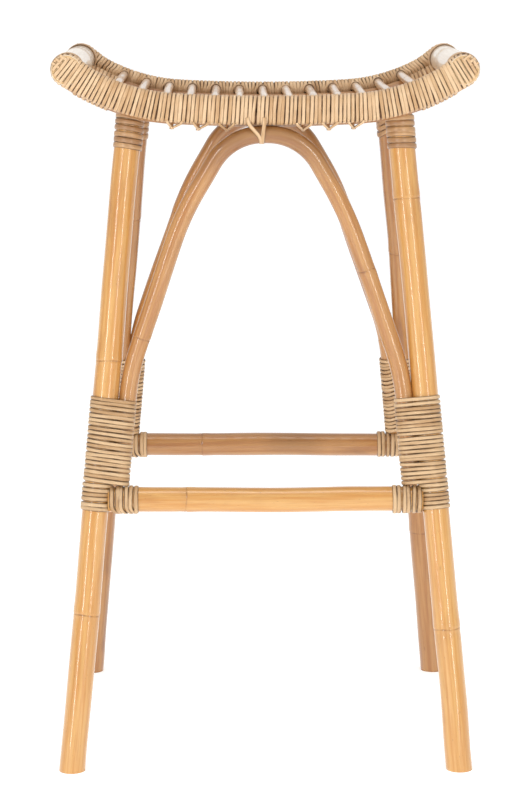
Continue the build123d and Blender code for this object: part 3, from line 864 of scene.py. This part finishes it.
def build_stretcher_windings():
    start = STRETCHER_WRAP_START
    stop = start + STRETCHER_WRAP_RUN
    around = [(0, 0, STRETCHER_R)]
    for seed, (name, face) in enumerate(FACES.items(), start=121):
        parts = new_parts()
        for side in (-1, 1):
            joint = leg_point(side, face, STRETCHER_Z)
            a = joint - np.array([side * start, 0, 0])
            b = joint - np.array([side * stop, 0, 0])
            wind(parts, a, b, (0, 0, 1), around, STRETCHER_PITCH, seed + 2 * side, rough=1.4,
                 step_at=0.5)
        finish_strands(f"stretcher_wrap_{name}", parts, JOINT_PEEL,
                       [f"{name}_stretcher_windings"])
    for seed, (name, side) in enumerate(SIDES.items(), start=131):
        parts = new_parts()
        for face in (-1, 1):
            joint = leg_point(side, face, STRETCHER_Z)
            a = joint - np.array([0, face * start, 0])
            b = joint - np.array([0, face * stop, 0])
            wind(parts, a, b, (0, 0, 1), around, STRETCHER_PITCH, seed + 2 * face, rough=1.4,
                 step_at=0.5)
        finish_strands(f"stretcher_wrap_{name}", parts, JOINT_PEEL,
                       [f"{name}_stretcher_windings"])


def build_roll_and_rod_windings():
    for seed, (name, side) in enumerate(SIDES.items(), start=141):
        parts = new_parts()
        for face in (-1, 1):
            a = (side * ROLL_X, face * (RAIL_INNER_Y + 0.0005), ROLL_Z)
            b = (side * ROLL_X, face * (RAIL_INNER_Y - 0.0158), ROLL_Z)
            wind(parts, a, b, (0, 0, 1), [(0, 0, ROLL_R)], ROLL_PITCH, seed + 2 * face, tone=0.3,
                 step_at=0.5)
        finish_strands(f"roll_wrap_{name}", parts, RAIL_PEEL,
                       [f"{name}_roll_windings"])
    parts = new_parts()
    for number, x in enumerate(ROD_XS):
        rod_x, rod_z = saddle_point(x, RAIL_POLE_R)
        for face in (-1, 1):
            a = (rod_x, face * (RAIL_INNER_Y + 0.0006), rod_z)
            b = (rod_x, face * (RAIL_INNER_Y - 0.0044), rod_z)
            wind(parts, a, b, (0, 0, 1), [(0, 0, ROD_R)], ROD_RING_PITCH, 200 + 2 * number + face,
                 height=0.0013, steps=26, step_at=0.5)
    finish_strands("rod_rings", parts, RAIL_PEEL, ["rod_end_rings"])


def build_bearer_windings():
    """Turns of peel round the bearers between the legs and the end rolls."""
    parts = new_parts()
    for seed, (side, face) in enumerate(CORNERS.values(), start=161):
        rng = np.random.default_rng(seed)
        reach = np.linspace(LEG_TOP_X + 0.0175, ROLL_X - 0.0135, 800)
        turn = reach / RAIL_PITCH
        angle = 2 * math.pi * turn
        x, z = saddle_point(side * (reach + 0.0002 * smooth_noise(rng, turn, 1.0)), BEARER_LIFT)
        slope = saddle_angle(side * reach)
        out = np.column_stack([-np.sin(slope) * np.cos(angle), np.sin(angle),
                               np.cos(slope) * np.cos(angle)])
        across = np.column_stack([np.cos(slope), np.zeros_like(slope), np.sin(slope)])
        centre = np.column_stack([x, np.full_like(x, face * BEARER_Y), z]) + out * BEARER_R
        tones = 0.4 + 0.6 * smooth_noise(rng, turn, 1.0)
        strand(parts, centre, across, out, 0.0041, 0.0011, tones, rng)
    finish_strands("bearer_wrap", parts, RAIL_PEEL, [])


def lace(parts, points, outs, width, rng, tone=0.0):
    """A flat strip through points, eased between them, facing outs."""
    points, outs = np.asarray(points, float), np.asarray(outs, float)
    length = np.concatenate([[0], np.cumsum(np.linalg.norm(np.diff(points, axis=0), axis=1))])
    wanted = np.linspace(0, length[-1], 28)
    path = np.column_stack([np.interp(wanted, length, points[:, k]) for k in range(3)])
    out = np.column_stack([np.interp(wanted, length, outs[:, k]) for k in range(3)])
    for _ in range(2):
        path[1:-1] = (path[:-2] + 2 * path[1:-1] + path[2:]) / 4
    out /= np.linalg.norm(out, axis=1)[:, None]
    tangent = np.gradient(path, axis=0)
    tangent /= np.linalg.norm(tangent, axis=1)[:, None]
    across = np.cross(out, tangent)
    across /= np.linalg.norm(across, axis=1)[:, None]
    strand(parts, path, across, np.cross(tangent, across), width, 0.0012, tone, rng)


def build_lacing():
    """A V of peel midway between rods, and the longer one round the arch's crown."""
    midways = [x + ROD_PITCH / 2 for x in ROD_XS]
    laced = [x for x in midways if ROD_PITCH < abs(x) < LEG_TOP_X - 2 * LEG_R]
    for seed, (name, face) in enumerate(FACES.items(), start=151):
        rng = np.random.default_rng(seed)
        parts = new_parts()
        for x in laced:
            shift = rng.normal() * 0.0015
            low_x, low_z = saddle_point(x + shift, BEARER_LIFT - BEARER_R - 0.0036)
            for spread in (-0.0078, 0.0078):
                foot_x, foot_z = saddle_point(x + spread, -RAIL_HALF_HEIGHT + 0.0004)
                lace(parts,
                     [(foot_x, face * (RAIL_Y + 0.0056), foot_z + 0.0022),
                      (foot_x - 0.14 * spread, face * (RAIL_Y + 0.0030), foot_z - 0.0002),
                      (low_x - 0.10 * spread, face * (RAIL_Y - 0.0085), low_z)],
                     [(0, face, -0.8), (0, face, -0.9), (0, face * 0.6, -1)],
                     0.0034, rng, rng.normal() * 0.5)
                lace(parts,
                     [(low_x - 0.10 * spread, face * (RAIL_Y - 0.0085), low_z),
                      (low_x, face * (BEARER_Y - 0.003), low_z + 0.0016),
                      (low_x, face * (BEARER_Y - BEARER_R * 0.75),
                       low_z + 0.0034 + BEARER_R * 0.35),
                      (low_x, face * (BEARER_Y - BEARER_R - 0.0006), low_z + BEARER_R + 0.003)],
                     [(0, 0, -1), (0, 0, -1), (0, -face, -0.8), (0, -face, 0)],
                     0.0034, rng, rng.normal() * 0.5)
        reach = ARCH_R + 0.0005
        y = ARCH_CROWN_Y
        for top_x, tip_x in ((-0.0190, -0.0045), (-0.0010, -0.0030)):
            lace(parts,
                 [(top_x, face * (RAIL_Y + RAIL_HALF_DEPTH + 0.0003), ARCH_CROWN_Z + 0.018),
                  (top_x * 0.9 + tip_x * 0.1, face * (RAIL_Y + RAIL_HALF_DEPTH - 0.0004),
                   ARCH_CROWN_Z + 0.011),
                  (tip_x * 0.9 + top_x * 0.1, face * (y + reach), ARCH_CROWN_Z - 0.002),
                  (tip_x, face * (y + reach * 0.7), ARCH_CROWN_Z - reach * 0.72),
                  (tip_x, face * y, ARCH_CROWN_Z - reach),
                  (tip_x, face * (y - reach * 0.7), ARCH_CROWN_Z - reach * 0.72),
                  (tip_x, face * (y - reach), ARCH_CROWN_Z)],
                 [(0, face, 0), (0, face, 0), (0, face, -0.2), (0, face, -1), (0, 0, -1),
                  (0, -face, -1), (0, -face, 0)],
                 0.0042, rng, 0.2)
        finish_strands(f"lacing_{name}", parts, RAIL_PEEL, [f"{name}_lacing"])


def dress_cad_nodes():
    """Materials for the CAD nodes that stay: fasteners and the poles inside the rail windings."""
    for name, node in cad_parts.items():
        if "nails" in name or "screws" in name:
            material = STEEL
        elif name.endswith("seat_rail"):
            material = CORE
        else:
            continue
        node.data.materials.clear()
        node.data.materials.append(material)


# ---------------------------------------------------------------- stage
def build_floor():
    n = Nodes("studio_floor")
    where = n.add("ShaderNodeNewGeometry").outputs["Position"]
    cloud = n.noise(where, 1.4, detail=2.0)
    color = n.mix(n.ramp(cloud, 0.3, 0.7), (0.93, 0.93, 0.93), (0.96, 0.96, 0.96))
    rough = n.math("ADD", 0.75, n.math("MULTIPLY", cloud, 0.1))
    material = n.finish(color, rough, cloud, bump_strength=0.02)
    shader = next(k for k in n.tree.nodes if k.type == "BSDF_PRINCIPLED")
    n.tree.links.new(color, shader.inputs["Emission Color"])
    shader.inputs["Emission Strength"].default_value = 0.47
    corners = np.array([(-30, -30, 0), (30, -30, 0), (30, 30, 0), (-30, 30, 0)], float)
    floor = make_mesh("floor", corners, [(0, 1, 2, 3)], {}, {}, material)


def add_area(name, location, target, size, energy, color=(1, 1, 1)):
    light = bpy.data.lights.new(name, "AREA")
    light.shape = "RECTANGLE"
    light.size, light.size_y = size
    light.energy = energy
    light.color = color
    obj = bpy.data.objects.new(name, light)
    obj.location = location
    obj.rotation_euler = (Vector(target) - Vector(location)).to_track_quat("-Z", "Y").to_euler()
    bpy.context.scene.collection.objects.link(obj)


def build_world():
    """White behind the stool and darker everywhere else, its front and sides too, like flags beside
    a white backdrop, so that the poles' edges read."""
    world = bpy.data.worlds.new("studio")
    world.use_nodes = True
    tree = world.node_tree
    background = tree.nodes["Background"]
    background.inputs[0].default_value = (1, 1, 1, 1)
    place = tree.nodes.new("ShaderNodeTexCoord")
    parts = tree.nodes.new("ShaderNodeSeparateXYZ")
    tree.links.new(place.outputs["Generated"], parts.inputs[0])
    reach = tree.nodes.new("ShaderNodeMapRange")
    reach.interpolation_type = "SMOOTHSTEP"
    reach.inputs["From Min"].default_value = 0.80
    reach.inputs["From Max"].default_value = 0.95
    reach.inputs["To Min"].default_value = 0.62
    reach.inputs["To Max"].default_value = 1.1
    tree.links.new(parts.outputs[1], reach.inputs["Value"])
    tree.links.new(reach.outputs[0], background.inputs[1])
    bpy.context.scene.world = world


def build_lights():
    middle = (0, 0, 0.42)
    add_area("strip_left", (-1.75, -2.45, 0.9), middle, (0.15, 2.6), 26)
    add_area("strip_right", (1.25, -2.65, 0.9), middle, (0.13, 2.6), 20)
    add_area("overhead", (0, -0.3, 3.0), middle, (1.6, 1.2), 16)
    add_area("front_fill", (0, -4.5, 1.6), middle, (3.0, 2.0), 4)


def build_camera():
    lens = bpy.data.cameras.new("camera")
    lens.sensor_width = 36
    lens.lens = 119.25
    camera = bpy.data.objects.new("camera", lens)
    camera.location = (-0.033, -2.9305, 0.8728)
    camera.rotation_euler = (math.radians(90 - 9.78), 0, math.radians(-0.66))
    bpy.context.scene.collection.objects.link(camera)
    bpy.context.scene.camera = camera
    bpy.context.scene.view_settings.view_transform = "Standard"


build_camera()
build_legs()
build_arches()
build_stretchers()
build_seat_poles()
build_rail_windings()
build_leg_windings()
build_stretcher_windings()
build_roll_and_rod_windings()
build_bearer_windings()
build_lacing()
dress_cad_nodes()
build_floor()
build_world()
build_lights()
